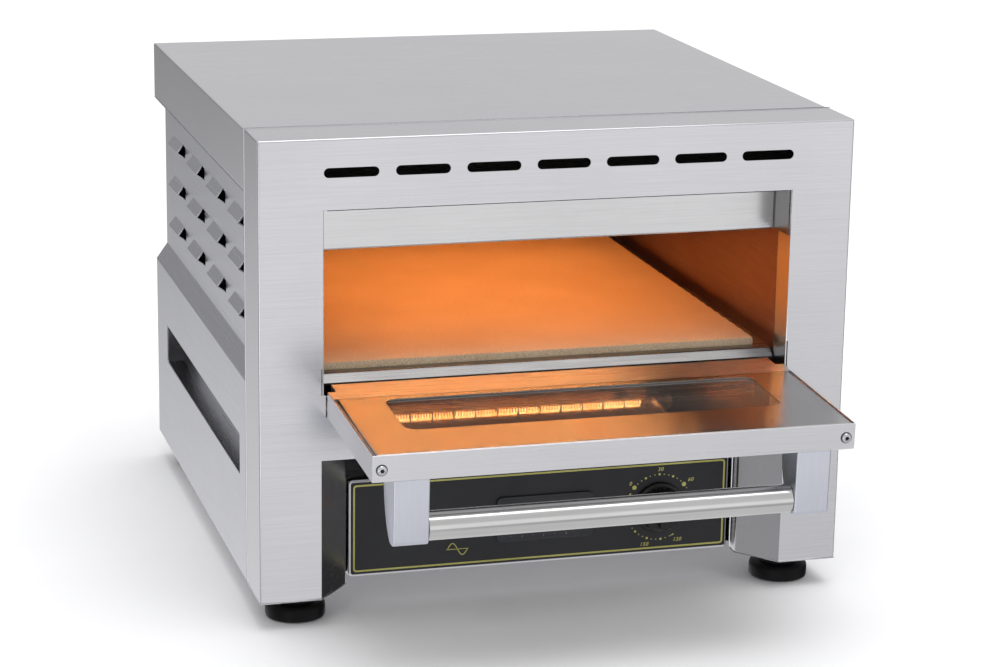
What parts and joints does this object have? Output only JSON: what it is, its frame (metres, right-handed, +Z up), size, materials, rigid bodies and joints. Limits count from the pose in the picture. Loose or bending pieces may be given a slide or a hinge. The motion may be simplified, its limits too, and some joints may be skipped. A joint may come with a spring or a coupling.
{
  "type": "countertop pizza oven",
  "caption": "Countertop deck oven: folded steel casing, stone-floored chamber, quartz heaters overhead, drop-down windowed door with a bar handle, timer knob and rubber feet.",
  "frame": {"origin": "under the middle of the whole object with its door open, on the plane the feet stand on", "axes": "+Z up, front and door towards -Y, +X to the right as seen from the front"},
  "size_m": [0.54, 0.733, 0.438],
  "materials": {
    "brushed_steel": "brushed",
    "polished_steel": "polished",
    "tube_steel": "polished",
    "satin_aluminium": "satin",
    "black_overlay": "satin",
    "black_plastic": "satin",
    "black_rubber": "matte",
    "fire_stone": "matte, granular",
    "clear_glass": "clear",
    "quartz": "clear",
    "amber_lens": "gloss",
    "mineral_wool": "matte",
    "zinc": "satin",
    "pale_plastic": "satin"
  },
  "bodies": {
    "oven": {"front_fascia": "brushed_steel", "top_cover": "brushed_steel", "left_side_panel": "brushed_steel", "right_side_panel": "brushed_steel", "rear_panel": "brushed_steel", "base_plate": "brushed_steel", "control_tray": "brushed_steel", "chamber_left_wall": "polished_steel", "chamber_right_wall": "polished_steel", "chamber_back_wall": "polished_steel", "roof_reflector": "polished_steel", "chamber_floor": "polished_steel", "upper_baffle": "polished_steel", "front_sill": "polished_steel", "stone_rail_left": "polished_steel", "stone_rail_right": "polished_steel", "tube_bracket_left": "polished_steel", "tube_bracket_right": "polished_steel", "control_overlay": "black_overlay", "badge_plate": "black_plastic", "cable_gland": "black_plastic", "foot_left_front": "black_rubber", "foot_right_front": "black_rubber", "foot_left_rear": "black_rubber", "foot_right_rear": "black_rubber", "baking_stone": "fire_stone", "quartz_tube_1": "quartz", "quartz_tube_2": "quartz", "quartz_tube_3": "quartz", "quartz_tube_4": "quartz", "quartz_tube_5": "quartz", "pilot_lamp_lens": "amber_lens", "insulation_top": "mineral_wool", "insulation_wrap": "mineral_wool", "insulation_floor": "mineral_wool", "left_leg_floor": "zinc", "right_leg_floor": "zinc", "lower_element_1": "zinc", "lower_element_2": "zinc", "safety_thermostat": "zinc", "hinge_block_left": "zinc", "hinge_block_right": "zinc", "hinge_pin_left": "zinc", "hinge_pin_right": "zinc", "timer_body": "pale_plastic", "pilot_lamp_body": "pale_plastic", "terminal_block": "pale_plastic"},
    "door": {"door_pan": "brushed_steel", "door_inner_panel": "polished_steel", "door_outer_glass": "clear_glass", "door_inner_glass": "clear_glass", "glass_frame": "black_rubber", "handle_bracket_left": "satin_aluminium", "handle_bracket_right": "satin_aluminium", "handle_tube": "tube_steel", "door_screw_left": "zinc", "door_screw_right": "zinc"},
    "timer_knob": {"timer_knob": "black_plastic", "timer_shaft": "zinc"}
  },
  "joints": [
    {"name": "door_hinge", "type": "hinge", "parent": "oven", "child": "door", "pos_m": [0, -0.18951, 0.199], "axis": [-1, 0, 0], "range_deg": [0, 92.5]},
    {"name": "timer_turn", "type": "hinge", "parent": "oven", "child": "timer_knob", "pos_m": [0.114, -0.14451, 0.0715], "axis": [0, 1, 0], "range_deg": [0, 270]}
  ]
}
